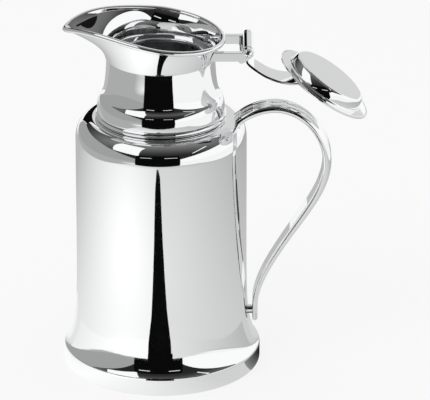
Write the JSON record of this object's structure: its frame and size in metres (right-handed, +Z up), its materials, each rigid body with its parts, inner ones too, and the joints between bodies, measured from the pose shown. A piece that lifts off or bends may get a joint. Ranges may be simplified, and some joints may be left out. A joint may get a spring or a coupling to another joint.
{
  "type": "lidded insulated jug",
  "caption": "Polished double-walled steel pouring jug with a flared foot, waisted neck, flared beaked collar, reeded strap handle and a plug lid on a hinge over the handle",
  "frame": {"origin": "On the axis of the round body, in the plane that the foot stands on", "axes": "+Z is up along the body's axis, +X points to the handle and the hinge, -X to the spout, and the jug is symmetric about the XZ plane"},
  "size_m": [0.1981, 0.129, 0.2371],
  "materials": {
    "polished_steel": "mirror polished",
    "plain_steel": "satin",
    "insulation": "rigid foam"
  },
  "bodies": {
    "jug": {"outer_shell": "polished_steel", "shell_floor": "plain_steel", "vacuum_seal": "plain_steel", "foot_ring": "polished_steel", "base_plate": "plain_steel", "liner_wall": "plain_steel", "liner_floor": "plain_steel", "liner_dome": "plain_steel", "liner_neck": "plain_steel", "neck_ring": "polished_steel", "seat_ring": "polished_steel", "spout_collar": "polished_steel", "handle": "polished_steel", "handle_root": "polished_steel", "handle_stud": "polished_steel", "hinge_ear_near": "polished_steel", "hinge_ear_far": "polished_steel", "hinge_pin": "polished_steel", "stop_bar": "polished_steel"},
    "lid": {"lid_arm": "polished_steel", "lid_cover": "polished_steel", "lid_plug": "polished_steel", "lid_insulation": "insulation"}
  },
  "joints": [
    {"name": "lid_hinge", "type": "hinge", "parent": "jug", "child": "lid", "pos_m": [0.0562, 0, 0.2206], "axis": [0, -1, 0], "range_deg": [0, 215]}
  ]
}
